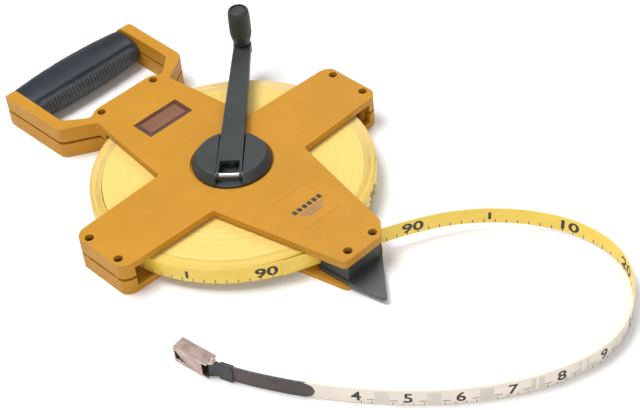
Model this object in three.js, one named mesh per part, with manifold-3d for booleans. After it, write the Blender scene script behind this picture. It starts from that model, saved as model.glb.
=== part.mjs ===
// Open-frame surveyor's tape reel with a folding crank, lying flat with some of its tape drawn out.
// Units are millimetres. The origin is on the underside at the reel's axis, +Z is up,
// +X points to the nose where the tape leaves, and -X to the D-shaped handle.
import * as THREE from 'three';
import { mergeVertices } from 'three/addons/utils/BufferGeometryUtils.js';
import Module from 'manifold-3d';

const wasm = await Module();
wasm.setup();

// ---- Driving dimensions -------------------------------------------------------------------
const frameHeight = 26;          // both shells closed, underside to top face
const midZ = frameHeight / 2;
const wall = 3;                  // moulded wall of the shells
const seam = 2.2;                // open groove between the two shells
const gap = 0.3;                 // between pieces that touch
const tapeWidth = 12.7;          // a half-inch tape
const tapeThick = 0.6;
const packRadius = 92;           // tightly wound tape
const reelRadius = 101;          // with the slack outer turns
const runningGap = 3;            // between the reel and the frame around it
const armReach = 120;            // end of each side arm from the axis
const armRoot = 27.5;            // half width of a side arm where it meets the body
const armTip = 25.5;             // half width at its end
const noseReach = 130.5;
const noseHalf = 23.3;           // half width of the nose near its end
const bodyHalf = 43;             // half width of the body across the hub
const handleRoot = 107;          // where the handle's limbs leave the body
const handleHalf = 60;           // outer half width of the D handle
const limbWidth = 9.5;
const gripX = -178.5;             // axis of the grip
const handleEnd = -181.5;         // where the limbs' rounded ends begin
const limbEndReach = 11.5;        // how far the rounded ends reach past that
const discRadius = 28.2;
const pinOffset = 20;            // crank hinge pin from the reel's axis
const crankReach = 126;          // knob axis from the reel's axis
const crankAngle = THREE.MathUtils.degToRad(133.6);
const knobRadius = 8.2;
const gripCoreRadius = 7;        // rod through the grip, held by both limbs
const hubBore = 14;              // hole for the upper bush
const hubSeat = 11;              // recess for the lower bush

// ---- Heights worked out from those --------------------------------------------------------
const tapeBottom = midZ - tapeWidth / 2;
const tapeTop = midZ + tapeWidth / 2;
const clearBottom = 5;           // the reel turns between these two heights
const clearTop = frameHeight - clearBottom;
const slotBottom = wall + gap;   // mouth of the nose, over the spike plate
const slotTop = tapeTop + gap;
const spikeTop = tapeBottom - gap;
const discBottom = frameHeight - 1;
const discFloor = discBottom + 2;
const discTop = frameHeight + 7.2;
const pinZ = discFloor + 3.6;
const armTop = frameHeight + 8.4;
const armBottom = discFloor + gap;
const armPlate = 2.6;            // thickness of the crank arm's top web
const armFlange = 2;             // thickness of its side flanges

// ---- Materials ----------------------------------------------------------------------------
function material(color, roughness, metalness = 0) {
  return new THREE.MeshStandardMaterial({ color, roughness, metalness });
}
const orange = material(0xdf9c3e, 0.5);
const charcoal = material(0x474c4f, 0.55);
const rubber = material(0x2c343a, 0.8);
const tapeYellow = material(0xf3d45c, 0.45);
const steel = material(0xb9bcc0, 0.3, 1);
const blackSteel = material(0x3a2a20, 0.5, 1);
const spikeSteel = material(0x55595b, 0.5, 0.8);
const labelBrown = material(0x8a5a45, 0.5);
const bushWhite = material(0xd8d6cf, 0.5);
const hookSteel = material(0xd9c4bb, 0.3, 1);

// ---- Solid helpers ------------------------------------------------------------------------
function toSolid(geometry) {
  const bare = geometry.clone();
  bare.deleteAttribute('normal');
  bare.deleteAttribute('uv');
  const merged = mergeVertices(bare, 1e-4);
  const source = merged.index.array;
  const triangles = [];
  for (let i = 0; i < source.length; i += 3) {
    const [a, b, c] = [source[i], source[i + 1], source[i + 2]];
    if (a !== b && b !== c && c !== a) triangles.push(a, b, c);
  }
  const vertProperties = new Float32Array(merged.attributes.position.array);
  const triVerts = new Uint32Array(triangles);
  return new wasm.Manifold(new wasm.Mesh({ numProp: 3, vertProperties, triVerts }));
}

function toGeometry(solid) {
  const mesh = solid.getMesh();
  const geometry = new THREE.BufferGeometry();
  geometry.setAttribute('position', new THREE.BufferAttribute(mesh.vertProperties, 3));
  geometry.setIndex(new THREE.BufferAttribute(mesh.triVerts, 1));
  geometry.computeVertexNormals();
  return geometry;
}

function join(first, ...others) {
  return others.reduce((sum, other) => sum.add(other), first);
}

function cut(body, ...tools) {
  return tools.reduce((rest, tool) => rest.subtract(tool), body);
}

// A plan outline pulled up from z0 to z1.
function prism(outline, z0, z1, curveSegments = 3) {
  const options = { depth: z1 - z0, bevelEnabled: false, curveSegments };
  return toSolid(new THREE.ExtrudeGeometry(outline, options).translate(0, 0, z0));
}

function box(x0, x1, y0, y1, z0, z1) {
  const geometry = new THREE.BoxGeometry(x1 - x0, y1 - y0, z1 - z0);
  return toSolid(geometry.translate((x0 + x1) / 2, (y0 + y1) / 2, (z0 + z1) / 2));
}

function rod(radius, z0, z1, x = 0, y = 0, sides = 16) {
  const geometry = new THREE.CylinderGeometry(radius, radius, z1 - z0, sides);
  return toSolid(geometry.rotateX(Math.PI / 2).translate(x, y, (z0 + z1) / 2));
}

function rodAlongY(radius, y0, y1, x, z, sides = 16) {
  const geometry = new THREE.CylinderGeometry(radius, radius, y1 - y0, sides);
  return toSolid(geometry.translate(x, (y0 + y1) / 2, z));
}

// A profile of [radius, z] points, from the axis up and back to it, turned about Z.
function turned(profile, sides = 32) {
  const points = profile.map(([radius, z]) => new THREE.Vector2(radius, z));
  return toSolid(new THREE.LatheGeometry(points, sides).rotateX(Math.PI / 2));
}

// A closed outline from [x, y, radius] corners, each rounded by its radius.
function roundedOutline(corners) {
  const shape = new THREE.Shape();
  const count = corners.length;
  corners.forEach(([x, y, radius], i) => {
    const here = new THREE.Vector2(x, y);
    const before = new THREE.Vector2(...corners[(i + count - 1) % count].slice(0, 2));
    const after = new THREE.Vector2(...corners[(i + 1) % count].slice(0, 2));
    const start = here.clone().add(before.sub(here).setLength(radius));
    const end = here.clone().add(after.sub(here).setLength(radius));
    if (i === 0) shape.moveTo(start.x, start.y);
    else shape.lineTo(start.x, start.y);
    if (radius > 0) shape.quadraticCurveTo(x, y, end.x, end.y);
  });
  shape.closePath();
  return shape;
}

// Corners moved to the left of their direction of travel: inwards on a counter-clockwise outline.
function inset(corners, distance) {
  const count = corners.length;
  return corners.map(([x, y, radius], i) => {
    const here = new THREE.Vector2(x, y);
    const before = new THREE.Vector2(...corners[(i + count - 1) % count].slice(0, 2));
    const after = new THREE.Vector2(...corners[(i + 1) % count].slice(0, 2));
    const into = here.clone().sub(before).normalize();
    const out = after.sub(here).normalize();
    const side = new THREE.Vector2(-into.y - out.y, into.x + out.x).normalize();
    const reach = distance / Math.max(0.2, side.dot(new THREE.Vector2(-into.y, into.x)));
    return [x + side.x * reach, y + side.y * reach, Math.max(0.5, radius - distance / 2)];
  });
}

// ---- The model ----------------------------------------------------------------------------
const reelModel = new THREE.Group();

function place(name, solid, look, parent = reelModel) {
  const mesh = new THREE.Mesh(toGeometry(solid), look);
  mesh.name = name;
  parent.add(mesh);
  return mesh;
}

// ---- Frame shells -------------------------------------------------------------------------
// One cross-shaped hollow casting with a D handle, split at mid height into two shells.
function frameCorners() {
  const upperSide = [
    [noseReach, 12.5, 1.5], [noseReach - 10.5, noseHalf, 3], [armRoot + 0.5, bodyHalf, 1.5],
    [armTip, armReach - 4.5, 4], [armTip - 5, armReach, 1.5],
    [-armTip + 5, armReach, 1.5], [-armTip, armReach - 4.5, 4], [-armRoot - 0.5, bodyHalf, 1.5],
    [-handleRoot, 34.5, 2], [-handleRoot - 15, handleHalf - 1, 4], [handleEnd - 5, handleHalf, 4],
    [handleEnd - limbEndReach, handleHalf - limbWidth + 2.5, 2],
  ];
  const lowerSide = upperSide.slice(2).reverse().map(([x, y, radius]) => [x, -y, radius]);
  return [...upperSide, ...lowerSide, [noseReach, -noseHalf + 2.5, 3]];
}

function openingCorners() {
  const innerY = handleHalf - limbWidth;
  return [
    [-handleRoot - 8, 34, 3], [-handleRoot - 13, 26, 3],
    [-handleRoot - 13, -26, 3], [-handleRoot - 8, -34, 3],
    [-handleRoot - 22, -innerY, 4], [-2 * handleRoot, -innerY, 0],
    [-2 * handleRoot, innerY, 0], [-handleRoot - 22, innerY, 4],
  ];
}

// The handle's limbs end in a half-round nose, seen from the side.
function sideProfile(distance) {
  const shape = new THREE.Shape();
  const bottom = distance;
  const top = frameHeight - distance;
  shape.moveTo(2 * noseReach, bottom);
  shape.lineTo(2 * noseReach, top);
  shape.lineTo(handleEnd, top);
  shape.absellipse(handleEnd, midZ, limbEndReach - distance, midZ - distance,
    Math.PI / 2, 1.5 * Math.PI, false);
  shape.closePath();
  const options = { depth: 4 * armReach, bevelEnabled: false, curveSegments: 10 };
  const geometry = new THREE.ExtrudeGeometry(shape, options);
  return toSolid(geometry.rotateX(Math.PI / 2).translate(0, 2 * armReach, 0));
}

function frameBody(distance) {
  const outline = roundedOutline(inset(frameCorners(), distance));
  const opening = prism(roundedOutline(inset(openingCorners(), distance)), -1, frameHeight + 1);
  const block = prism(outline, distance, frameHeight - distance);
  return cut(block, opening).intersect(sideProfile(distance));
}

const screwPlaces = [
  { name: 'side_screw_1', x: 15.2, y: -115, boss: 4.8 },
  { name: 'side_screw_2', x: -15.2, y: -115, boss: 4.8 },
  { name: 'side_screw_3', x: 15.2, y: 115, boss: 4.8 },
  { name: 'side_screw_4', x: -15.2, y: 115, boss: 4.8 },
  { name: 'nose_screw_1', x: 123.8, y: -11.5, boss: 3.4 },
  { name: 'nose_screw_2', x: 123.8, y: 11.5, boss: 3.4 },
  { name: 'handle_screw_1', x: -114.4, y: -24.7, boss: 5.5 },
  { name: 'handle_screw_2', x: -114.4, y: 24.7, boss: 5.5 },
];
const screwShank = 1.5;
const screwHead = 2.9;
const screwHeadTop = frameHeight - 3.5;
const screwHeadBottom = screwHeadTop - 2;
const screwTip = wall + 1.5;

function hollowFrame() {
  const reelSpace = rod(reelRadius + runningGap, clearBottom, clearTop, 0, 0, 72);
  const noseMouth = box(86, 2 * noseReach, -bodyHalf, bodyHalf, slotBottom, slotTop);
  const gripEnds = rodAlongY(gripCoreRadius + gap, -handleHalf + wall, handleHalf - wall, gripX, midZ);
  return cut(frameBody(0), frameBody(wall), reelSpace, noseMouth, gripEnds, ...armWindows());
}

// The side arms' walls stay open a little way past the reel.
function armWindows() {
  const inner = armTip - wall - 1;
  const outer = armRoot + wall;
  const from = reelRadius - 3;
  const to = reelRadius + 9.5;
  return [[inner, outer], [-outer, -inner]].flatMap(([x0, x1]) => [
    box(x0, x1, from, to, clearBottom, clearTop),
    box(x0, x1, -to, -from, clearBottom, clearTop),
  ]);
}

const labelRecess = { x0: -84, x1: -64, half: 20, depth: 1.2 };

function upperFrame(frame) {
  const top = frame.intersect(box(-300, 300, -300, 300, midZ + seam / 2, frameHeight + 1));
  const bosses = screwPlaces.map((s) => rod(s.boss, midZ + gap / 2, frameHeight - wall / 2, s.x, s.y));
  const hubRing = rod(hubBore + 6, clearTop + 0.4, frameHeight - wall / 2, 0, 0, 32);
  const holes = screwPlaces.flatMap((s) => [
    rod(screwShank + gap, 0, frameHeight, s.x, s.y),
    rod(screwHead + gap, screwHeadBottom - gap, frameHeight + 1, s.x, s.y),
  ]);
  return cut(
    join(top, ...bosses, hubRing),
    ...holes,
    rod(hubBore, clearTop - 1, frameHeight + 1, 0, 0, 32),
    rod(discRadius + 1.2, discBottom - 0.5, frameHeight + 1, 0, 0, 48),
    box(labelRecess.x0, labelRecess.x1, -labelRecess.half, labelRecess.half,
      frameHeight - labelRecess.depth, frameHeight + 1),
  );
}

function lowerFrame(frame) {
  const base = frame.intersect(box(-300, 300, -300, 300, -1, midZ - seam / 2));
  const bosses = screwPlaces.map((s) => rod(s.boss, wall / 2, midZ - gap / 2, s.x, s.y));
  const hubRing = cut(
    rod(hubSeat + 4, wall / 2, clearBottom - 0.2, 0, 0, 32),
    rod(hubSeat, wall, clearBottom, 0, 0, 32),
  );
  const holes = screwPlaces.map((s) => rod(screwShank + gap, screwTip - gap, midZ, s.x, s.y));
  return cut(join(base, ...bosses, hubRing), ...holes);
}

function screw(s) {
  return join(
    rod(screwHead, screwHeadBottom, screwHeadTop, s.x, s.y, 16),
    rod(screwShank, screwTip, screwHeadBottom + 0.5, s.x, s.y, 12),
  );
}

const frame = hollowFrame();
place('upper_frame', upperFrame(frame), orange);
place('lower_frame', lowerFrame(frame), orange);
screwPlaces.forEach((s) => place(s.name, screw(s), blackSteel));

const labelPlate = box(labelRecess.x0 + gap, labelRecess.x1 - gap,
  -labelRecess.half + gap, labelRecess.half - gap,
  frameHeight - labelRecess.depth + gap, frameHeight - 0.2);
place('label_plate', labelPlate, labelBrown);

// ---- Nose: a steel point lies on the lower shell, and a guide block holds it down ----------
const noseScrews = screwPlaces.filter((s) => s.name.startsWith('nose'));

function noseBossHoles() {
  return noseScrews.map((s) => rod(s.boss + gap, 0, frameHeight, s.x, s.y));
}

function groundSpike() {
  const outline = roundedOutline([
    [104, -20.5, 0], [132, -19, 0], [156.5, -14, 1], [158, -12, 1], [120.5, 22, 0], [108, 22, 0],
  ]);
  return cut(prism(outline, slotBottom, spikeTop), ...noseBossHoles());
}

// The guide's long side runs beside the tape on its way out.
function tapeGuide() {
  const outline = roundedOutline([
    [105.3, -19.6, 0.8], [129.3, -18, 1.5], [129.3, 12, 1], [123, 18, 0.8], [121.6, 18, 0.3],
  ]);
  return cut(prism(outline, spikeTop + gap, slotTop - gap), ...noseBossHoles());
}
place('ground_spike', groundSpike(), spikeSteel);
place('tape_guide', tapeGuide(), charcoal);

// ---- Handle grip --------------------------------------------------------------------------
const gripHalf = handleHalf - limbWidth - 0.4;
const gripEndRadius = 16.6;
const gripBulge = 3;             // extra radius at the middle of its length

function gripSleeve() {
  const profile = [[0, -gripHalf]];
  const steps = 10;
  for (let i = 0; i <= steps; i += 1) {
    const t = -1 + (2 * i) / steps;
    profile.push([gripEndRadius + gripBulge * (1 - t * t), t * gripHalf]);
  }
  profile.push([0, gripHalf]);
  const points = profile.map(([radius, y]) => new THREE.Vector2(radius, y));
  const flatten = (midZ - 0.2) / (gripEndRadius + gripBulge);
  const barrel = new THREE.LatheGeometry(points, 28).scale(1, 1, flatten).translate(gripX, 0, midZ);
  const bore = rodAlongY(gripCoreRadius + gap, -2 * gripHalf, 2 * gripHalf, gripX, midZ);
  return cut(toSolid(barrel), bore);
}
const gripCore = rodAlongY(gripCoreRadius, -handleHalf + wall + gap, handleHalf - wall - gap, gripX, midZ);
place('grip_core', gripCore, charcoal);
place('grip_sleeve', gripSleeve(), rubber);

// ---- Reel: bushes, spool and wound tape ---------------------------------------------------
const shaftRadius = 10;
const stubRadius = 7;
const tenonHalf = 4.5;
const tenonTop = discFloor + 0.4;

function upperBush() {
  const barrel = rod(hubBore - gap, clearTop + 0.1, discBottom - 0.7, 0, 0, 32);
  const bore = rod(shaftRadius + gap, 0, frameHeight, 0, 0, 32);
  return cut(barrel, bore);
}

function lowerBush() {
  return cut(
    rod(hubSeat - gap, wall + gap, clearBottom, 0, 0, 32),
    rod(stubRadius + gap, 0, midZ, 0, 0, 32),
  );
}

const drumRadius = 32;
const flangeRadius = 45;

function spool() {
  const low = clearBottom + gap;
  const high = clearTop - gap;
  const body = turned([
    [0, wall + 0.6], [stubRadius, wall + 0.6], [stubRadius, midZ - 1.5], [drumRadius - 3.5, midZ - 1.5],
    [drumRadius - 3.5, low], [flangeRadius, low], [flangeRadius, tapeBottom - gap],
    [drumRadius, tapeBottom - gap], [drumRadius, tapeTop + gap], [flangeRadius, tapeTop + gap],
    [flangeRadius, high], [drumRadius - 3.5, high], [drumRadius - 3.5, midZ + 1.5],
    [shaftRadius, midZ + 1.5], [shaftRadius, discBottom - gap], [0, discBottom - gap],
  ]);
  const tenon = box(-tenonHalf, tenonHalf, -tenonHalf, tenonHalf, midZ, tenonTop);
  const screwBore = rod(screwShank + gap, midZ + 2, frameHeight + 10);
  const anchorSlot = box(drumRadius - 2.4, drumRadius + 2, -3, 3, tapeBottom - gap, tapeTop + gap);
  return cut(join(body, tenon), screwBore, anchorSlot);
}

function ring(inner, outer, sides = 72) {
  const disc = rod(outer, tapeBottom, tapeTop, 0, 0, sides);
  return cut(disc, rod(inner, 0, frameHeight, 0, 0, sides));
}

place('upper_bush', upperBush(), bushWhite);
place('lower_bush', lowerBush(), bushWhite);
place('spool', spool(), charcoal);
place('tape_anchor', box(drumRadius - 2, drumRadius - 0.2, -2.6, 2.6, tapeBottom, tapeTop), steel);
place('wound_tape', ring(drumRadius + gap, packRadius), tapeYellow);
place('outer_wraps', ring(packRadius + gap, reelRadius), tapeYellow);

// ---- Crank --------------------------------------------------------------------------------
// Built along its own +X, hinge pin at the crank group's origin, then turned to its angle.
const crank = new THREE.Group();
crank.rotation.z = crankAngle;
crank.position.set(-pinOffset * Math.cos(crankAngle), -pinOffset * Math.sin(crankAngle), 0);
reelModel.add(crank);
const knobAt = pinOffset + crankReach;
const armRootHalf = 9;
const armTipHalf = 6.3;
const armEndRadius = knobRadius - 1.4;
const channelHalf = armRootHalf + 0.4;
const pinRadius = 1.8;
const pinRunning = 0.25;         // running room around a hinge pin
const windowEnd = pinOffset - 9; // the arm's top web starts here, and the pin shows before it
const spindleRadius = 2.7;

function crankDisc() {
  const body = turned([
    [0, discBottom], [discRadius - 1.2, discBottom], [discRadius, discBottom + 1],
    [discRadius, discFloor + 0.8], [24, discTop], [0, discTop],
  ], 48).translate([pinOffset, 0, 0]);
  const channel = box(-discRadius, 2 * discRadius, -channelHalf, channelHalf, discFloor, discTop + 1);
  const key = tenonHalf + gap;
  const keyHole = box(-key, key, -key, key, discBottom - 1, discTop);
  const crankTurn = THREE.MathUtils.radToDeg(crankAngle);
  const turnedKey = keyHole.rotate([0, 0, -crankTurn]).translate([pinOffset, 0, 0]);
  const pinHole = rodAlongY(pinRadius + pinRunning, -channelHalf - 3, channelHalf + 3, 0, pinZ);
  return cut(body, channel, turnedKey, pinHole);
}

function armOutline(halfRoot, halfTip, start, endRadius) {
  const shape = new THREE.Shape();
  shape.moveTo(start, -halfRoot);
  shape.lineTo(knobAt - 4, -halfTip);
  shape.absarc(knobAt, 0, endRadius, -Math.PI * 0.6, Math.PI * 0.6, false);
  shape.lineTo(knobAt - 4, halfTip);
  shape.lineTo(start, halfRoot);
  shape.closePath();
  return shape;
}

function crankArm() {
  const eye = armBottom - pinZ;
  const outer = prism(armOutline(armRootHalf, armTipHalf, 0, armEndRadius), armBottom, armTop, 8);
  const heel = rodAlongY(-eye, -armRootHalf, armRootHalf, 0, pinZ);
  const hollow = prism(
    armOutline(armRootHalf - armFlange, armTipHalf - armFlange, -8, armEndRadius - armFlange),
    0, armTop - armPlate, 8);
  const inner = armRootHalf - armFlange;
  const window = box(-8, windowEnd, -inner, inner, 0, 2 * armTop);
  const spindleHole = rod(spindleRadius + gap, 0, 2 * armTop, knobAt);
  const pinHole = rodAlongY(pinRadius + pinRunning, -discRadius, discRadius, 0, pinZ);
  const corner = box(-8, 0, -armRootHalf, armRootHalf, 0, pinZ + 10);
  return cut(join(cut(outer, corner), heel), hollow, window, spindleHole, pinHole);
}

function hubScrew() {
  const washerTop = tenonTop + gap + 0.8;
  return join(
    rod(4, washerTop + gap, washerTop + gap + 1.8, pinOffset, 0, 16),
    rod(screwShank, midZ + 3, washerTop + 1, pinOffset, 0, 12),
  );
}

function hubWasher() {
  const washer = rod(5.6, tenonTop + gap, tenonTop + gap + 0.8, pinOffset, 0, 24);
  return cut(washer, rod(screwShank + gap, 0, 2 * armTop, pinOffset));
}

const knobBottom = armTop + 0.5;
const knobTop = knobBottom + 31;
const capSeat = knobTop - 3;
const headRoom = knobTop - 11;   // the hollow above the spindle's rivet head
const capRadius = 5;

function knob() {
  const body = turned([
    [0, knobBottom], [6.2, knobBottom], [6.5, knobBottom + 2.5], [knobRadius, knobBottom + 9],
    [knobRadius - 0.3, knobTop - 4], [knobRadius - 0.7, knobTop - 1.5], [6.2, knobTop], [0, knobTop],
  ], 24).translate([knobAt, 0, 0]);
  return cut(
    body,
    rod(spindleRadius + gap, 0, headRoom + 1, knobAt),
    rod(capRadius + gap, headRoom, knobTop + 1, knobAt),
  );
}

function knobSpindle() {
  return join(
    rod(4, armTop - armPlate - gap - 1.6, armTop - armPlate - gap, knobAt, 0, 16),
    rod(spindleRadius, armTop - armPlate - 1, headRoom + 0.8, knobAt, 0, 16),
    rod(4.6, headRoom + gap, headRoom + 2.3, knobAt, 0, 16),
  );
}

place('crank_disc', crankDisc(), charcoal, crank);
place('hinge_pin', rodAlongY(pinRadius, -channelHalf - 2.6, channelHalf + 2.6, 0, pinZ), steel, crank);
place('hub_washer', hubWasher(), steel, crank);
place('hub_screw', hubScrew(), steel, crank);
place('crank_arm', crankArm(), charcoal, crank);
place('knob_spindle', knobSpindle(), steel, crank);
place('knob', knob(), charcoal, crank);
place('knob_cap', rod(capRadius, capSeat, knobTop - 0.3, knobAt, 0, 20), charcoal, crank);

// ---- Free tape ----------------------------------------------------------------------------
// The tape leaves the reel along a tangent, crosses the nose, loops round on its edge and
// settles onto the surface.
const route = [
  [94.3, -40, 13], [101.4, -23, 13], [108.3, -6.5, 13], [115, 9.5, 13], [121.5, 24, 13],
  [130.5, 43, 12.8], [141.3, 62, 12.3], [154, 78.5, 11.5], [167, 91, 10.9], [180.5, 101.5, 10],
  [196, 110, 9.1], [212, 115.3, 8.4], [228.5, 117, 7.8], [244, 114.6, 7.2], [258, 108, 6.8],
  [270, 97.5, 6.5], [280, 84, 6.5], [287, 69.5, 6.5], [290.5, 55, 6.5], [290.7, 40, 6.5],
  [287.8, 25, 6.5], [282.6, 9.5, 6.5], [276, -4.5, 6.5], [267.5, -18.5, 6.5], [256.5, -33.5, 6.5],
  [242.5, -49.5, 6.5], [226.3, -64.7, 6.5], [211, -77, 6.5], [195, -88.6, 6.5], [180, -98.3, 6.5],
].map((p) => new THREE.Vector3(...p));
const stripRoute = [
  [179.3, -98.7, 6.5], [166, -106.2, 6.5], [151.5, -113.6, 6.5], [138, -119.8, 6.5], [124.5, -125.2, 6.5],
].map((p) => new THREE.Vector3(...p));

// A flat band on its edge: the section's first direction is the band's height.
function band(points, width, thick, steps) {
  const shape = new THREE.Shape();
  shape.moveTo(-width / 2, -thick / 2);
  shape.lineTo(width / 2, -thick / 2);
  shape.lineTo(width / 2, thick / 2);
  shape.lineTo(-width / 2, thick / 2);
  shape.closePath();
  const extrudePath = new THREE.CatmullRomCurve3(points);
  return toSolid(new THREE.ExtrudeGeometry(shape, { steps, bevelEnabled: false, extrudePath }));
}
place('free_tape', band(route, tapeWidth, tapeThick, 64), tapeYellow);
place('tape_end_strip', band(stripRoute, tapeWidth, 1.6, 12), rubber);

// ---- End hook -----------------------------------------------------------------------------
// Each piece is built along its own +X with the hinge pin at its origin.
const clampHeading = THREE.MathUtils.degToRad(199);
const hookHeading = THREE.MathUtils.degToRad(187);
const hookPinReach = 7;          // pin beyond the end of the strip
const hookPinRadius = 1.2;
const sheet = 1;
const hookBottom = 0.3;
const hookTop = tapeWidth + 0.3;
const hookHalf = 5;
const stripEnd = stripRoute[stripRoute.length - 1];
const hookPinX = stripEnd.x + hookPinReach * Math.cos(clampHeading);
const hookPinY = stripEnd.y + hookPinReach * Math.sin(clampHeading);

function hookGroup(heading) {
  const group = new THREE.Group();
  group.position.set(hookPinX, hookPinY, 0);
  group.rotation.z = heading;
  reelModel.add(group);
  return group;
}

// A folded clamp pinches the strip, and its rolled end turns on the pin.
function hookClamp() {
  const eyeBottom = hookBottom + sheet + gap;
  const eyeTop = hookTop - sheet - gap;
  const jaws = box(-15, -6, -1.8, 1.8, hookBottom, tapeWidth);
  const neck = box(-7, 0, -1.5, 1.5, eyeBottom, eyeTop);
  const eye = rod(2.5, eyeBottom, eyeTop);
  const slit = box(-16, -hookPinReach + gap, -1.15, 1.15, -1, frameHeight);
  const pinHole = rod(hookPinRadius + pinRunning, -1, frameHeight);
  return cut(join(jaws, neck, eye), slit, pinHole);
}

// A folded sheet claw: webs above and below the clamp's eye, two sides, one of them with a
// slanting window, an open underside and a closed far end.
function endHook() {
  const length = 28;
  const sidesFrom = 4.5;
  const inner = hookHalf - sheet;
  const body = join(
    box(0, length, -hookHalf, hookHalf, hookBottom, hookTop),
    rod(3, hookBottom, hookTop),
  );
  const inside = box(-4, length - sheet, -inner, inner, hookBottom + sheet, hookTop - sheet);
  const eyeRoom = box(-4, sidesFrom, -2 * inner, 2 * inner, hookBottom + sheet, hookTop - sheet);
  const openUnderside = box(10, length - sheet, -inner, inner, -1, hookTop - 2 * sheet);
  const slant = roundedOutline([[18, 2.5, 0], [length - sheet, 2.5, 0], [length - sheet, 11, 0]]);
  const slantWindow = prism(slant, -hookHalf - 1, -inner + 0.5).rotate([90, 0, 0]);
  const pinHole = rod(hookPinRadius + pinRunning, -1, frameHeight);
  return cut(body, inside, eyeRoom, openUnderside, slantWindow, pinHole);
}

const clampGroup = hookGroup(clampHeading);
place('hook_clamp', hookClamp(), charcoal, clampGroup);
place('hook_pin', rod(hookPinRadius, hookBottom, hookTop), steel, clampGroup);
place('end_hook', endHook(), hookSteel, hookGroup(hookHeading));

export default reelModel;
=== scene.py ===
"""Looks for the surveyor's tape reel: an open two-shell frame with its tape drawn out in a loop.
Metres, in the CAD model's frame: the reel turns about Z, +X is the nose and -X the handle."""
import math
import random

import bmesh
import bpy
from mathutils import Matrix, Vector


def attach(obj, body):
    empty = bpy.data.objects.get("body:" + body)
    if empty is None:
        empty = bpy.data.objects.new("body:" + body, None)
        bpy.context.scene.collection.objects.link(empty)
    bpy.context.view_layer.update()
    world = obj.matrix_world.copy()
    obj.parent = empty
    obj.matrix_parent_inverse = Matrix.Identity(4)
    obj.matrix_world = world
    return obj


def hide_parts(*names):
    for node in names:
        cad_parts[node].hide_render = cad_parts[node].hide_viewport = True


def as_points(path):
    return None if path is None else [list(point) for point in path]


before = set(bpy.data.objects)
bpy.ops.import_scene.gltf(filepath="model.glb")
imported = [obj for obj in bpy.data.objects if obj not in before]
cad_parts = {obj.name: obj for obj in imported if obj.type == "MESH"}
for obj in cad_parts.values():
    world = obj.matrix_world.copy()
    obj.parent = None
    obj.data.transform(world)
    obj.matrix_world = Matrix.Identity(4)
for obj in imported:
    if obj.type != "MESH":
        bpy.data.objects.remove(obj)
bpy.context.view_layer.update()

random.seed(7)
MM = 0.001

# ---- Sizes shared with the CAD model (millimetres) ------------------------------------------
FRAME_HEIGHT = 26.0
MID_Z = FRAME_HEIGHT / 2
TAPE_WIDTH = 12.7
TAPE_THICK = 0.6
TAPE_TOP = MID_Z + TAPE_WIDTH / 2
DRUM_RADIUS = 32.3
PACK_RADIUS = 92.0
REEL_RADIUS = 101.0
GRIP_X = -178.5
GRIP_HALF = 50.1
GRIP_END_RADIUS = 16.6
GRIP_BULGE = 3.0
CRANK_ANGLE = math.radians(133.6)
KNOB_REACH = 126.0
KNOB_BOTTOM = 34.9
KNOB_TOP = 65.9
KNOB_RADIUS = 8.2
LABEL_X0, LABEL_X1, LABEL_HALF = -83.7, -64.3, 19.7
LABEL_TOP = 25.8

# ---- Camera ---------------------------------------------------------------------------------
CAMERA_AT = Vector((656.47, -496.77, 714.96)) * MM
CAMERA_BACK = Vector((0.5602, -0.4894, 0.6683)).normalized()
CAMERA_RIGHT = Vector((0.7041, 0.7064, -0.0729)).normalized()
CAMERA_LENS = 86.83
SENSOR_WIDTH = 36.0


def add_camera():
    data = bpy.data.cameras.new("camera")
    data.lens = CAMERA_LENS
    data.sensor_width = SENSOR_WIDTH
    data.sensor_fit = "HORIZONTAL"
    data.clip_start = 0.01
    camera = bpy.data.objects.new("camera", data)
    up = CAMERA_BACK.cross(CAMERA_RIGHT).normalized()
    right = up.cross(CAMERA_BACK)
    turn = Matrix((right, up, CAMERA_BACK)).transposed().to_4x4()
    camera.matrix_world = Matrix.Translation(CAMERA_AT) @ turn
    bpy.context.scene.collection.objects.link(camera)
    bpy.context.scene.camera = camera


add_camera()


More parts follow.
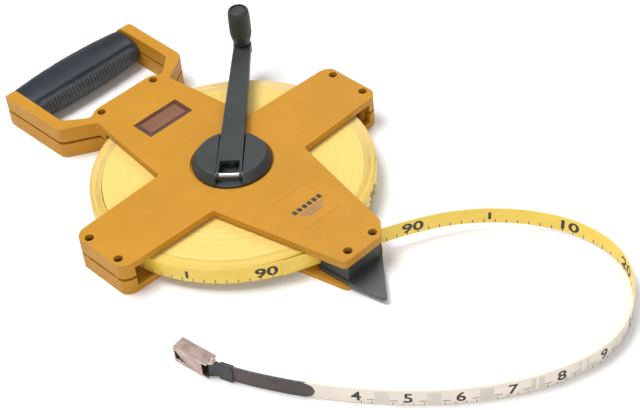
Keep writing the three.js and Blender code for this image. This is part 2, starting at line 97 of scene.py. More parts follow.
# ---- Node materials -------------------------------------------------------------------------
class Look:
    """A material under construction, with short calls for the nodes this scene uses."""

    def __init__(self, name, roughness=0.5, metallic=0.0, specular=0.5, coat=0.0, coat_roughness=0.1):
        self.material = bpy.data.materials.new(name)
        self.material.use_nodes = True
        self.tree = self.material.node_tree
        self.shader = self.tree.nodes["Principled BSDF"]
        self.set(self.shader, Roughness=roughness, Metallic=metallic)
        self.shader.inputs["Specular IOR Level"].default_value = specular
        self.shader.inputs["Coat Weight"].default_value = coat
        self.shader.inputs["Coat Roughness"].default_value = coat_roughness
        self.place = self.node("ShaderNodeTexCoord").outputs["Object"]

    def node(self, kind, **settings):
        made = self.tree.nodes.new(kind)
        for key, value in settings.items():
            setattr(made, key, value)
        return made

    def set(self, node, **values):
        for key, value in values.items():
            socket = node.inputs[key]
            if isinstance(value, bpy.types.NodeSocket):
                self.tree.links.new(value, socket)
            else:
                socket.default_value = value

    def noise(self, scale, detail=2.0, rough=0.5, stretch=None):
        made = self.node("ShaderNodeTexNoise")
        place = self.place if stretch is None else self.stretched(stretch)
        self.set(made, Vector=place, Scale=scale, Detail=detail, Roughness=rough)
        return made.outputs["Fac"]

    def stretched(self, scale):
        made = self.node("ShaderNodeMapping")
        self.set(made, Vector=self.place, Scale=scale)
        return made.outputs["Vector"]

    def ramp(self, value, low, high, start=0.0, end=1.0):
        made = self.node("ShaderNodeMapRange")
        made.inputs["Value"].default_value = 0.0
        self.tree.links.new(value, made.inputs["Value"])
        for key, number in (("From Min", start), ("From Max", end), ("To Min", low), ("To Max", high)):
            made.inputs[key].default_value = number
        return made.outputs["Result"]

    def mix(self, factor, first, second):
        made = self.node("ShaderNodeMix", data_type="RGBA")
        for socket, value in zip((made.inputs[0], made.inputs[6], made.inputs[7]), (factor, first, second)):
            if isinstance(value, bpy.types.NodeSocket):
                self.tree.links.new(value, socket)
            elif isinstance(value, (int, float)):
                socket.default_value = value
            else:
                socket.default_value = (*value, 1.0)
        return made.outputs[2]

    def math(self, operation, first, second=0.0):
        made = self.node("ShaderNodeMath", operation=operation)
        for socket, value in zip(made.inputs, (first, second)):
            if isinstance(value, bpy.types.NodeSocket):
                self.tree.links.new(value, socket)
            else:
                socket.default_value = value
        return made.outputs[0]

    def edges(self, start, end):
        """1 on convex edges, 0 elsewhere: where the rubber's painted edge highlight and dust go."""
        pointed = self.node("ShaderNodeNewGeometry").outputs["Pointiness"]
        return self.ramp(pointed, 0.0, 1.0, start, end)

    def bump(self, height, strength, distance):
        made = self.node("ShaderNodeBump")
        self.set(made, Height=height, Strength=strength, Distance=distance)
        self.tree.links.new(made.outputs["Normal"], self.shader.inputs["Normal"])

    def color(self, value):
        self.tree.links.new(value, self.shader.inputs["Base Color"])

    def roughness(self, value):
        self.tree.links.new(value, self.shader.inputs["Roughness"])


GRAIN_DEPTH = 0.00004        # metres


def moulded(name, base, roughness, grain=2600.0, vary=0.1, marks=None, **shader):
    """Moulded plastic or coated metal: fine grain, cloudy colour, and faint marks from handling."""
    look = Look(name, roughness=roughness, **shader)
    darker = tuple(c * (1.0 - vary) for c in base)
    lighter = tuple(min(1.0, c * (1.0 + vary * 0.6)) for c in base)
    body = look.mix(look.ramp(look.noise(28.0, 4.0, 0.6), 0.0, 1.0, 0.3, 0.7), darker, lighter)
    rubbed = marks or tuple(c + (1.0 - c) * 0.12 for c in base)
    rub = look.ramp(look.noise(1.0, 5.0, 0.7, stretch=(70.0, 260.0, 160.0)), 0.0, 0.4, 0.6, 0.78)
    look.color(look.mix(rub, body, rubbed))
    look.roughness(look.ramp(look.noise(90.0, 5.0, 0.65), roughness - 0.08, roughness + 0.1, 0.3, 0.7))
    look.bump(look.noise(grain, 2.0), 0.5, GRAIN_DEPTH)
    return look.material


def pale_edge(name, base, bare, roughness, amount=0.6, **shader):
    """The rounded edges of a moulding, rubbed pale in patches; where the base is paler than the body, as on
    the orange and charcoal mouldings, the paler edge is also a painted highlight.
    """
    look = Look(name, roughness=roughness, **shader)
    patches = look.ramp(look.noise(130.0, 4.0, 0.65), 0.0, amount, 0.38, 0.68)
    look.color(look.mix(patches, base, bare))
    look.roughness(look.ramp(look.noise(220.0, 3.0), roughness - 0.08, roughness + 0.08, 0.3, 0.7))
    look.bump(look.noise(1900.0, 2.0), 0.4, GRAIN_DEPTH)
    return look.material


def brushed(name, base, roughness, tint=None):
    """Bright metal with fine drawn lines and uneven dulling."""
    look = Look(name, roughness=roughness, metallic=1.0)
    lines = look.noise(1.0, 3.0, 0.6, stretch=(60.0, 1400.0, 1400.0))
    dull = tuple(c * 0.72 for c in (tint or base))
    look.color(look.mix(look.ramp(look.noise(160.0, 4.0), 0.0, 1.0, 0.35, 0.75), base, dull))
    look.roughness(look.ramp(lines, roughness - 0.07, roughness + 0.15, 0.3, 0.7))
    look.bump(lines, 0.35, 0.00003)
    return look.material


def soft_rubber(name, low, high):
    """Matt rubber, painted paler grey in patches on its proud edges and rib crests: partly dust, partly a
    painted highlight.
    """
    look = Look(name, roughness=0.45, specular=0.5)
    cloud = look.noise(40.0, 4.0)
    body = look.mix(look.ramp(cloud, 0.0, 1.0, 0.3, 0.7), low, high)
    patches = look.ramp(look.noise(500.0, 3.0), 0.25, 0.8, 0.4, 0.7)
    # painted highlight with dust: paler grey patches on convex edges and rib crests, picked by pointiness
    dust_and_edge_highlight = look.math("MULTIPLY", look.edges(0.505, 0.54), patches)
    look.color(look.mix(dust_and_edge_highlight, body, (0.14, 0.15, 0.16)))
    look.roughness(look.ramp(look.noise(120.0, 4.0), 0.38, 0.56, 0.3, 0.7))
    look.bump(look.noise(3000.0, 2.0), 0.5, 0.00005)
    return look.material


def tape_coating(name, base, deep):
    """Coated glass-fibre tape: lengthways yarns just showing under a glossy coat."""
    roughness = 0.36
    look = Look(name, roughness=roughness, coat=0.25, coat_roughness=0.2)
    yarn = look.noise(1.0, 2.0, 0.5, stretch=(90.0, 90.0, 2400.0))
    cloud = look.noise(60.0, 4.0, 0.6)
    look.color(look.mix(look.ramp(cloud, 0.0, 1.0, 0.3, 0.75), base, deep))
    look.roughness(look.ramp(yarn, roughness - 0.06, roughness + 0.1, 0.3, 0.7))
    look.bump(yarn, 0.4, 0.00005)
    return look.material


def wound_edges(name, base, deep):
    """Edges of the wound turns: fine rings about the reel's axis, some turns proud or soiled."""
    rings = 1100.0
    look = Look(name, roughness=0.5)
    parts = look.node("ShaderNodeSeparateXYZ")
    look.set(parts, Vector=look.place)
    square_x = look.math("MULTIPLY", parts.outputs["X"], parts.outputs["X"])
    square_y = look.math("MULTIPLY", parts.outputs["Y"], parts.outputs["Y"])
    radius = look.math("SQRT", look.math("ADD", square_x, square_y))
    spread = look.node("ShaderNodeCombineXYZ")
    look.set(spread, X=radius)
    turns = look.node("ShaderNodeTexNoise")
    look.set(turns, Vector=spread.outputs["Vector"], Scale=rings, Detail=2.0)
    bands = look.node("ShaderNodeTexNoise")
    look.set(bands, Vector=spread.outputs["Vector"], Scale=rings / 7.0, Detail=3.0)
    body = look.mix(look.ramp(turns.outputs["Fac"], 0.0, 1.0, 0.35, 0.7), base, deep)
    soiled = tuple(c * f for c, f in zip(base, (0.93, 0.86, 0.7)))
    look.color(look.mix(look.ramp(bands.outputs["Fac"], 0.0, 0.45, 0.5, 0.75), body, soiled))
    look.roughness(look.ramp(look.noise(70.0, 3.0), 0.42, 0.6, 0.3, 0.7))
    look.bump(turns.outputs["Fac"], 0.5, 0.00025)
    return look.material


ORANGE = moulded("orange_shell", (0.555, 0.257, 0.019), 0.48, vary=0.07, specular=0.28)
# orange edges: painted paler than the body as an edge highlight, with rubbed pale patches of wear
ORANGE_EDGE = pale_edge("orange_edge", (0.59, 0.272, 0.023), (0.72, 0.4, 0.1), 0.42, specular=0.3)
CHARCOAL = moulded("charcoal_plastic", (0.034, 0.04, 0.041), 0.48, vary=0.2)
# charcoal edges: painted paler than the body as an edge highlight, with rubbed pale patches of wear
CHARCOAL_EDGE = pale_edge("charcoal_edge", (0.05, 0.055, 0.058), (0.12, 0.125, 0.13), 0.4, 0.5)
RUBBER = soft_rubber("grip_rubber", (0.008, 0.013, 0.02), (0.016, 0.023, 0.032))
RIBBED_RUBBER = soft_rubber("grip_ribs", (0.024, 0.031, 0.037), (0.04, 0.048, 0.055))
YELLOW = tape_coating("tape_yellow", (0.93, 0.67, 0.1), (0.88, 0.6, 0.07))
WHITE = tape_coating("tape_white", (0.9, 0.8, 0.7), (0.8, 0.71, 0.62))
TAPE_EDGES = wound_edges("tape_edges", (0.88, 0.655, 0.19), (0.8, 0.55, 0.12))
INK = moulded("tape_ink", (0.035, 0.03, 0.022), 0.5, vary=0.3)
SOFT_INK = moulded("tape_soft_ink", (0.2, 0.16, 0.13), 0.5, vary=0.3)
GREY_INK = moulded("tape_grey_ink", (0.7, 0.64, 0.57), 0.5)
SPIKE_STEEL = moulded("spike_steel", (0.095, 0.105, 0.105), 0.4, metallic=0.4, vary=0.2,
                      marks=(0.14, 0.15, 0.155))
SPIKE_EDGE = pale_edge("spike_edge", (0.09, 0.1, 0.105), (0.34, 0.35, 0.36), 0.35, 0.8, metallic=0.6)
DARK_STEEL = moulded("dark_screw", (0.05, 0.03, 0.02), 0.42, metallic=0.7, vary=0.3)
LABEL_BROWN = moulded("label_brown", (0.105, 0.035, 0.02), 0.45, vary=0.2)
LABEL_PAD = moulded("label_pad", (0.24, 0.105, 0.055), 0.4, grain=1500.0, vary=0.35)
BUSH_WHITE = moulded("bush_plastic", (0.6, 0.58, 0.53), 0.4)
BRIGHT_STEEL = brushed("bright_steel", (0.74, 0.74, 0.75), 0.27)
HOOK_STEEL = brushed("claw_steel", (0.6, 0.46, 0.41), 0.34, tint=(0.5, 0.36, 0.31))
HOOK_EDGE = pale_edge("claw_edge", (0.55, 0.4, 0.34), (0.75, 0.64, 0.58), 0.3, 0.9, metallic=1.0)
SLEEVE = moulded("sleeve_vinyl", (0.082, 0.062, 0.057), 0.5, vary=0.3)


# ---- Mesh helpers ---------------------------------------------------------------------------
def show(name, mesh, *materials, smooth=True, sharp=40.0):
    for material in materials:
        mesh.materials.append(material)
    if smooth:
        mesh.shade_smooth()
        mesh.set_sharp_from_angle(angle=math.radians(sharp))
    piece = bpy.data.objects.new(name, mesh)
    bpy.context.scene.collection.objects.link(piece)
    return piece


def from_points(name, points, faces, *materials, pick=None, sharp=40.0):
    """A piece from points in millimetres. pick(face index) gives a face's material number."""
    mesh = bpy.data.meshes.new(name)
    mesh.from_pydata([Vector(p) * MM for p in points], [], faces)
    mesh.update()
    piece = show(name, mesh, *materials, sharp=sharp)
    if pick:
        for polygon in mesh.polygons:
            polygon.material_index = pick(polygon.index)
    return piece


def lofted(name, rings, *materials, loop=False, pick=None, sharp=40.0):
    """A skin over rings of equal count; capped at both ends, or joined end to end."""
    count = len(rings[0])
    points = [p for ring in rings for p in ring]
    faces = []
    spans = len(rings) if loop else len(rings) - 1
    for i in range(spans):
        here = i * count
        there = (i + 1) % len(rings) * count
        for j in range(count):
            k = (j + 1) % count
            faces.append((here + j, here + k, there + k, there + j))
    if not loop:
        faces.append(tuple(reversed(range(count))))
        faces.append(tuple(range(spans * count, spans * count + count)))
    return from_points(name, points, faces, *materials, pick=pick, sharp=sharp)


def turned(name, profile, *materials, at=(0.0, 0.0), sides=64, sharp=35.0, loop=False):
    """A profile of (radius, z) turned about a vertical axis; a loop is a closed profile off the axis."""
    rings = []
    for radius, z in profile:
        ring = []
        for k in range(sides):
            angle = 2.0 * math.pi * k / sides
            ring.append((at[0] + radius * math.cos(angle), at[1] + radius * math.sin(angle), z))
        rings.append(ring)
    return outward(lofted(name, rings, *materials, loop=loop, sharp=sharp))


def outward(piece):
    """Turns a closed piece's faces outwards."""
    work = bmesh.new()
    work.from_mesh(piece.data)
    bmesh.ops.recalc_face_normals(work, faces=work.faces)
    work.to_mesh(piece.data)
    work.free()
    return piece


def bake_modifiers(piece):
    """Makes a piece's modifiers part of its mesh."""
    depsgraph = bpy.context.evaluated_depsgraph_get()
    depsgraph.update()
    baked = bpy.data.meshes.new_from_object(piece.evaluated_get(depsgraph))
    piece.modifiers.clear()
    piece.data = baked


WELD = 5e-6                  # metres: CAD corners closer than this are one corner
FLAT_ANGLE = 1.0             # degrees: neighbouring facets flatter than this become one face
ROUND_ANGLE = 38.0           # degrees: edges sharper than this are rounded
CREASE_ANGLE = 40.0          # degrees: edges sharper than this stay sharp in the shading


def refined(node, body, material, edge, bevel):
    """Replaces a CAD node by a copy with flat faces cleaned and sharp edges rounded."""
    work = bmesh.new()
    work.from_mesh(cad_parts[node].data)
    bmesh.ops.remove_doubles(work, verts=work.verts, dist=WELD)
    bmesh.ops.dissolve_limit(work, angle_limit=math.radians(FLAT_ANGLE), verts=work.verts, edges=work.edges)
    mesh = bpy.data.meshes.new(node + "_look")
    work.to_mesh(mesh)
    work.free()
    piece = show(node + "_look", mesh, material, edge, smooth=False)
    rounding = piece.modifiers.new("rounding", "BEVEL")
    rounding.width = bevel * MM
    rounding.segments = 3
    rounding.limit_method = "ANGLE"
    rounding.angle_limit = math.radians(ROUND_ANGLE)
    rounding.miter_outer = "MITER_ARC"
    rounding.use_clamp_overlap = True
    rounding.material = 1
    bake_modifiers(piece)
    piece.data.shade_smooth()
    piece.data.set_sharp_from_angle(angle=math.radians(CREASE_ANGLE))
    even = piece.modifiers.new("even", "WEIGHTED_NORMAL")
    even.mode = "FACE_AREA"
    even.weight = 100
    even.keep_sharp = True
    bake_modifiers(piece)
    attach(piece, body)
    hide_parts(node)
    return piece


# ---- Drawn-out tape -------------------------------------------------------------------------
# The centre line, the same points as the CAD model's.
ROUTE = [
    (94.3, -40, 13), (101.4, -23, 13), (108.3, -6.5, 13), (115, 9.5, 13), (121.5, 24, 13),
    (130.5, 43, 12.8), (141.3, 62, 12.3), (154, 78.5, 11.5), (167, 91, 10.9), (180.5, 101.5, 10),
    (196, 110, 9.1), (212, 115.3, 8.4), (228.5, 117, 7.8), (244, 114.6, 7.2), (258, 108, 6.8),
    (270, 97.5, 6.5), (280, 84, 6.5), (287, 69.5, 6.5), (290.5, 55, 6.5), (290.7, 40, 6.5),
    (287.8, 25, 6.5), (282.6, 9.5, 6.5), (276, -4.5, 6.5), (267.5, -18.5, 6.5), (256.5, -33.5, 6.5),
    (242.5, -49.5, 6.5), (226.3, -64.7, 6.5), (211, -77, 6.5), (195, -88.6, 6.5), (180, -98.3, 6.5),
]
STRIP_ROUTE = [(179.3, -98.7, 6.5), (166, -106.2, 6.5), (151.5, -113.6, 6.5), (138, -119.8, 6.5),
               (124.5, -125.2, 6.5)]
UP = Vector((0.0, 0.0, 1.0))
RUN_ON = 20.0                # how far a path can be followed straight on past its ends


class Path:
    """A smooth curve through points, asked for its place and directions by distance along it."""

    def __init__(self, points, steps=16):
        points = [Vector(p) for p in points]
        before = 2.0 * points[0] - points[1]
        after = 2.0 * points[-1] - points[-2]
        posts = [before, *points, after]
        self.places = []
        for i in range(len(points) - 1):
            a, b, c, d = posts[i:i + 4]
            for k in range(steps):
                t = k / steps
                bend = (2 * a - 5 * b + 4 * c - d) * t * t + (3 * b - a - 3 * c + d) * t ** 3
                self.places.append(0.5 * (2 * b + (c - a) * t + bend))
        self.places.append(points[-1])
        self.reach = [0.0]
        for a, b in zip(self.places, self.places[1:]):
            self.reach.append(self.reach[-1] + (b - a).length)
        self.length = self.reach[-1]

    def at(self, distance):
        """Place, the side direction to the right of travel, and the band's upward direction."""
        distance = max(-RUN_ON, min(self.length + RUN_ON, distance))
        i = 0
        while i < len(self.reach) - 2 and self.reach[i + 1] < distance:
            i += 1
        step = self.places[i + 1] - self.places[i]
        travel = step.normalized()
        place = self.places[i] + travel * (distance - self.reach[i])
        before = self.places[max(0, i - 3)]
        after = self.places[min(len(self.places) - 1, i + 4)]
        along = (after - before).normalized()
        side = along.cross(UP).normalized()
        return place, side, side.cross(along).normalized()


tape_path = Path(ROUTE)
strip_path = Path(STRIP_ROUTE)


def band_section(half_width, half_thick, corner):
    """Points (side, up) round a band's section, from the top of its right side to the left."""
    section = []
    for sign_side, sign_up, start in ((1, 1, 0), (-1, 1, 90), (-1, -1, 180), (1, -1, 270)):
        for k in range(3):
            angle = math.radians(start + 45 * k)
            section.append((
                sign_side * (half_thick - corner) + corner * math.cos(angle),
                sign_up * (half_width - corner) + corner * math.sin(angle),
            ))
    return section


def band(name, path, start, end, section, spacing, *materials, pick=None, narrow=None):
    """A flat band on its edge. narrow(distance) scales its width, for a rounded end."""
    count = max(2, round((end - start) / spacing))
    rings = []
    for i in range(count + 1):
        distance = start + (end - start) * i / count
        place, side, up = path.at(distance)
        scale = narrow(distance) if narrow else 1.0
        rings.append([place + side * u + up * (v * scale) for u, v in section])
    return outward(lofted(name, rings, *materials, pick=pick, sharp=50.0))


TAPE_CORNER = 0.22           # how far the coating rounds the tape's corners
TAPE_SPACING = 3.0           # between the drawn-out tape's sections
TAPE_SECTION = band_section(TAPE_WIDTH / 2, TAPE_THICK / 2, TAPE_CORNER)
SECTION_COUNT = len(TAPE_SECTION)
YELLOW_FACES = (8, 9, 10, 11, 0, 1, 2)   # right of travel, with the top and bottom edges


def tape_face(index):
    """0 is the yellow face and 1 the white one."""
    return 0 if index % SECTION_COUNT in YELLOW_FACES else 1


TAPE_LAP = 3.0               # how far the drawn-out tape runs back along the reel
SLEEVE_LAP = 7.0             # and on into the sleeve

free_tape = band("drawn_tape", tape_path, -TAPE_LAP, tape_path.length + SLEEVE_LAP, TAPE_SECTION,
                 TAPE_SPACING, YELLOW, WHITE, pick=tape_face)
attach(free_tape, "frame")
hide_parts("free_tape")


SLEEVE_HALF_WIDTH = 6.3
SLEEVE_HALF_THICK = 0.8
SLEEVE_CORNER = 0.6
SLEEVE_SPACING = 1.2
SLEEVE_FACES = (5, 11)       # the section's two long sides
TONGUE_REACH = 7.0           # length of the sleeve's rounded end
TONGUE_TIP = 0.12            # its width at the very end, as a share of the whole


def tongue(distance):
    """The sleeve's end over the tape is rounded."""
    if distance >= TONGUE_REACH:
        return 1.0
    t = 1.0 - distance / TONGUE_REACH
    return max(TONGUE_TIP, math.sqrt(1.0 - t * t))


def sleeve_face(index):
    """The sleeve's rolled edges are darker than its faces."""
    return 0 if index % SECTION_COUNT in SLEEVE_FACES else 1


sleeve_section = band_section(SLEEVE_HALF_WIDTH, SLEEVE_HALF_THICK, SLEEVE_CORNER)
sleeve = band("end_sleeve", strip_path, 0.0, strip_path.length, sleeve_section, SLEEVE_SPACING,
              SLEEVE, RUBBER, pick=sleeve_face, narrow=tongue)
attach(sleeve, "frame")
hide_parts("tape_end_strip")

clamp_look = refined("hook_clamp", "frame", CHARCOAL, CHARCOAL_EDGE, 0.35)
hook_look = refined("end_hook", "hook", HOOK_STEEL, HOOK_EDGE, 0.4)
hook_pin_look = refined("hook_pin", "frame", BRIGHT_STEEL, BRIGHT_STEEL, 0.25)


# ---- Printed scale --------------------------------------------------------------------------
FIGURE_SHARE = 0.69          # a figure's height as a share of its font size
INK_HALF = 0.03              # half the thickness of a printed mark
PRINT_LIFT = TAPE_THICK / 2 + 0.02


def glyph(text, height, bold, widen):
    """Points (x, y, z) and faces of a line of figures, centred on x and y, in millimetres."""
    data = bpy.data.curves.new("figures", "FONT")
    data.body = text
    data.size = height / FIGURE_SHARE
    data.align_x = "CENTER"
    data.offset = bold
    data.extrude = INK_HALF
    data.resolution_u = 4
    source = bpy.data.objects.new("figures", data)
    bpy.context.scene.collection.objects.link(source)
    mesh = bpy.data.meshes.new_from_object(source.evaluated_get(bpy.context.evaluated_depsgraph_get()))
    points = [v.co.copy() for v in mesh.vertices]
    faces = [tuple(p.vertices) for p in mesh.polygons]
    bpy.data.objects.remove(source)
    bpy.data.meshes.remove(mesh)
    low = min(p.y for p in points)
    high = max(p.y for p in points)
    middle = (low + high) / 2
    return [(p.x * widen, p.y - middle, p.z) for p in points], faces


def bar(width, height, x=0.0, y=0.0):
    """A thin printed bar, the same form as a glyph."""
    points = []
    for z in (-INK_HALF, INK_HALF):
        for dx, dy in ((-1, -1), (1, -1), (1, 1), (-1, 1)):
            points.append((x + dx * width / 2, y + dy * height / 2, z))
    faces = [(3, 2, 1, 0), (4, 5, 6, 7), (0, 1, 5, 4), (1, 2, 6, 5), (2, 3, 7, 6), (3, 0, 4, 7)]
    return points, faces


class Print:
    """Marks gathered into one piece, each placed by a function from flat to real points."""

    def __init__(self):
        self.points = []
        self.faces = []

    def add(self, mark, wrap):
        points, faces = mark
        first = len(self.points)
        self.points.extend(wrap(*p) for p in points)
        self.faces.extend(tuple(first + i for i in face) for face in faces)

    def finish(self, name, material, body):
        piece = outward(from_points(name, self.points, self.faces, material, sharp=30.0))
        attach(piece, body)
        return piece


def on_tape(distance, white):
    """Wraps flat marks onto one face of the drawn-out tape, upright and reading left to right."""
    def wrap(x, y, z):
        place, side, up = tape_path.at(distance - x if white else distance + x)
        outward_side = -side if white else side
        return place + up * y + outward_side * (PRINT_LIFT + z)
    return wrap


def on_reel(angle):
    """Wraps flat marks onto the outermost turn of the reel."""
    def wrap(x, y, z):
        turn = angle + x / REEL_RADIUS
        radius, rise = slack_turn((SLACK_END - turn) % (2.0 * math.pi))
        radius += PRINT_LIFT + z
        return Vector((radius * math.cos(turn), radius * math.sin(turn), MID_Z + rise + y))
    return wrap


SLACK_END = math.atan2(ROUTE[0][1], ROUTE[0][0]) - 0.004
SLACK_TURNS = 11
SLACK_FIRST = PACK_RADIUS + 0.32     # radius of the innermost slack turn
SLACK_LAST = REEL_RADIUS - 0.45      # and of the outermost
SLACK_SWAY = 0.12            # how far a turn wanders in and out
SLACK_RISE = 0.3             # and up and down
END_LIFT = 1.25              # how far the outer end springs clear
END_LIFT_ANGLE = 0.6         # radians over which it does so


def slack_turn(back):
    """Radius and rise of the slack band's centre, by the angle back from its outer end."""
    share = 1.0 - back / (SLACK_TURNS * 2.0 * math.pi)
    ease = math.sin(math.pi * share)
    sway = SLACK_SWAY * ease * math.sin(2.0 * back + 9.0 * share)
    lift = END_LIFT * max(0.0, 1.0 - back / END_LIFT_ANGLE) ** 2
    radius = SLACK_FIRST + (SLACK_LAST - SLACK_FIRST) * share + sway + lift
    return radius, SLACK_RISE * ease * math.sin(63.0 * share)


TENTH = 31.6                 # between the white face's figures
FIRST_TENTH = 488.2          # where the white face's figure 4 stands
BLOCK_SIZE = (8.6, 9.6)      # the pale block half way between two figures
DASH_SIZE = (4.6, 0.55)      # the dash on each side of it
DASH_AWAY = 7.0
DASH_BELOW = 2.6
WHITE_TICK_SIZE = (0.5, 1.8)
WHITE_TICK_UP = 1.3          # middle of a tick above the tape's lower edge
YELLOW_TICK_SIZE = (0.75, 2.9)
YELLOW_TICK_UP = 1.75
REEL_TICK_UP = 1.95
YELLOW_STEP = 53.0           # between the yellow face's figures
FIRST_YELLOW = 90.0
TICKS_PER_STEP = 7


def yellow_figure(figure):
    """The yellow face's figures are wide and bold, and its plain 1 is smaller."""
    return glyph(figure, 5.6 if figure == "1" else 7.4, bold=0.3, widen=1.45)


def print_white_face():
    marks = Print()
    blocks = Print()
    lines = Print()
    for k, figure in enumerate("45678912345678"):
        middle = FIRST_TENTH - k * TENTH
        marks.add(glyph(figure, 7.6, bold=0.22, widen=1.15), on_tape(middle, True))
        blocks.add(bar(*BLOCK_SIZE), on_tape(middle - TENTH / 2, True))
        for side in (-1, 1):
            lines.add(bar(*DASH_SIZE, 0.0, -DASH_BELOW), on_tape(middle - TENTH / 2 + side * DASH_AWAY, True))
        for tick in (1, 3, 7, 9):
            mark = bar(*WHITE_TICK_SIZE, 0.0, -TAPE_WIDTH / 2 + WHITE_TICK_UP)
            lines.add(mark, on_tape(middle - tick * TENTH / 10, True))
    return [marks.finish("white_face_print", INK, "frame"),
            lines.finish("white_face_lines", SOFT_INK, "frame"),
            blocks.finish("white_face_blocks", GREY_INK, "frame")]


def print_yellow_face():
    marks = Print()
    lines = Print()
    for k, figure in enumerate(("90", "1", "10", "20", "30", "40", "50", "60")):
        middle = FIRST_YELLOW + k * YELLOW_STEP
        marks.add(yellow_figure(figure), on_tape(middle, False))
        for tick in range(-3, 4):
            spot = middle + (tick + 0.5) * YELLOW_STEP / TICKS_PER_STEP
            mark = bar(*YELLOW_TICK_SIZE, 0.0, -TAPE_WIDTH / 2 + YELLOW_TICK_UP)
            lines.add(mark, on_tape(spot, False))
    return [marks.finish("yellow_face_print", INK, "frame"),
            lines.finish("yellow_face_ticks", SOFT_INK, "frame")]


tape_prints = print_white_face() + print_yellow_face()
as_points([tuple(tape_path.at(-TAPE_LAP)[0] * MM)] + [tuple(p * MM) for p in tape_path.places]
    + [tuple(tape_path.at(tape_path.length + SLEEVE_LAP)[0] * MM)])


# ---- Reel -----------------------------------------------------------------------------------
TURN_DROP = 0.1              # how far a group of turns can sit below its neighbours
TURN_SLOPE = 0.12            # width of the step between two groups
GROUP_WIDTHS = (0.7, 1.3)    # the narrowest and widest group
LAST_GROUP = 1.1
PACK_GAP = 0.1               # to the slack turns


def tight_pack():
    """The tight turns, each group of them standing a little prouder or lower than the next."""
    radii = [DRUM_RADIUS]
    while radii[-1] < PACK_RADIUS - LAST_GROUP:
        radii.append(radii[-1] + random.uniform(*GROUP_WIDTHS))
    radii.append(PACK_RADIUS - PACK_GAP)
    profile = []
    for i, radius in enumerate(radii):
        step = random.uniform(-TURN_DROP, 0.0) if 0 < i < len(radii) - 1 else -TURN_DROP
        profile.append((radius, TAPE_TOP + step))
        if i < len(radii) - 1:
            profile.append((radii[i + 1] - TURN_SLOPE, TAPE_TOP + step))
    under = [(radius, 2 * MID_Z - z) for radius, z in reversed(profile)]
    piece = turned("tight_turns", profile + under, TAPE_EDGES, sides=144, sharp=80.0, loop=True)
    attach(piece, "reel")
    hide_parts("wound_tape")


def slack_turns():
    """The outer turns as one spiral band that has sprung loose, ending beside the nose."""
    per_turn = 150
    count = SLACK_TURNS * per_turn
    section = band_section(TAPE_WIDTH / 2 - 0.1, TAPE_THICK / 2, 0.2)
    rings = []
    for i in range(count + 1):
        back = (1.0 - i / count) * SLACK_TURNS * 2.0 * math.pi
        radius, rise = slack_turn(back)
        angle = SLACK_END - back
        spot = Vector((radius * math.cos(angle), radius * math.sin(angle), MID_Z + rise))
        side = Vector((spot.x, spot.y, 0.0)).normalized()
        rings.append([spot + side * u + UP * v for u, v in section])

    def pick(index):
        edge = index % SECTION_COUNT
        if edge in (10, 11, 0):
            return 0
        return 1 if edge in (4, 5, 6) else 2

    piece = outward(lofted("slack_turns", rings, YELLOW, WHITE, TAPE_EDGES, pick=pick, sharp=50.0))
    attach(piece, "reel")
    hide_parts("outer_wraps")


REEL_ONE = math.radians(-60.5)       # where the 1 stands on the reel's outermost turn


def print_reel():
    marks = Print()
    lines = Print()
    figures = ("70", "80", "1", "90", "20", "30", "40", "50", "60", "70")
    step = YELLOW_STEP / REEL_RADIUS
    first = REEL_ONE - figures.index("1") * step
    for k, figure in enumerate(figures):
        marks.add(yellow_figure(figure), on_reel(first + k * step))
    for k in range((len(figures) - 1) * TICKS_PER_STEP):
        spot = first + (k + 0.5) * step / TICKS_PER_STEP
        lines.add(bar(*YELLOW_TICK_SIZE, 0.0, -TAPE_WIDTH / 2 + REEL_TICK_UP), on_reel(spot))
    marks.finish("reel_print", INK, "reel")
    lines.finish("reel_ticks", SOFT_INK, "reel")


tight_pack()
slack_turns()
print_reel()


# ---- Grip -----------------------------------------------------------------------------------
GRIP_SQUARE = 2.25           # 2 is a plain ellipse, more is squarer
GRIP_END_LENGTH = 2.2        # length of the rounding at each end
GRIP_END_DROP = 1.6          # how far the rounding comes in
GROOVE_DEPTH = 1.3
GROOVE_AT = 44.0             # degrees round from the inner side towards the top
GROOVE_SPREAD = 7.0          # degrees
GROOVE_FADE = (0.98, 0.8)    # where it fades out and is full, as shares of the half length
RIB_PITCH = 2.8
RIB_FADE = (0.84, 0.74)
RIB_TOP_EDGE = (38.0, 30.0)  # degrees where the pad starts and is full
RIB_LOWER_EDGE = (-88.0, -80.0)
FLOOR_GAP = 0.2              # between the grip and the floor
RIB_STEP = 0.2               # the ribbed pad's own depth below the smooth part
RIB_DEPTH = 1.0


def smooth_step(start, end, value):
    t = max(0.0, min(1.0, (value - start) / (end - start)))
    return t * t * (3.0 - 2.0 * t)


def groove(angle):
    """A soft groove between the smooth top and the ribs."""
    away = abs(math.degrees(angle) - GROOVE_AT) / GROOVE_SPREAD
    return math.exp(-away * away)


def rib_zone(angle):
    """1 over the grip's inner side and underside, 0 on its top and outside."""
    degrees = math.degrees(angle)
    if degrees > 270.0:
        degrees -= 360.0
    return smooth_step(*RIB_TOP_EDGE, degrees) * smooth_step(*RIB_LOWER_EDGE, degrees)


def grip_radius(y):
    """The barrel's plain radius: bulged in the middle and rounded at its ends."""
    t = y / GRIP_HALF
    end = max(0.0, (abs(y) - (GRIP_HALF - GRIP_END_LENGTH)) / GRIP_END_LENGTH)
    rounding = GRIP_END_DROP * (1.0 - math.sqrt(1.0 - end * end * 0.98))
    return GRIP_END_RADIUS + GRIP_BULGE * (1.0 - t * t) - rounding


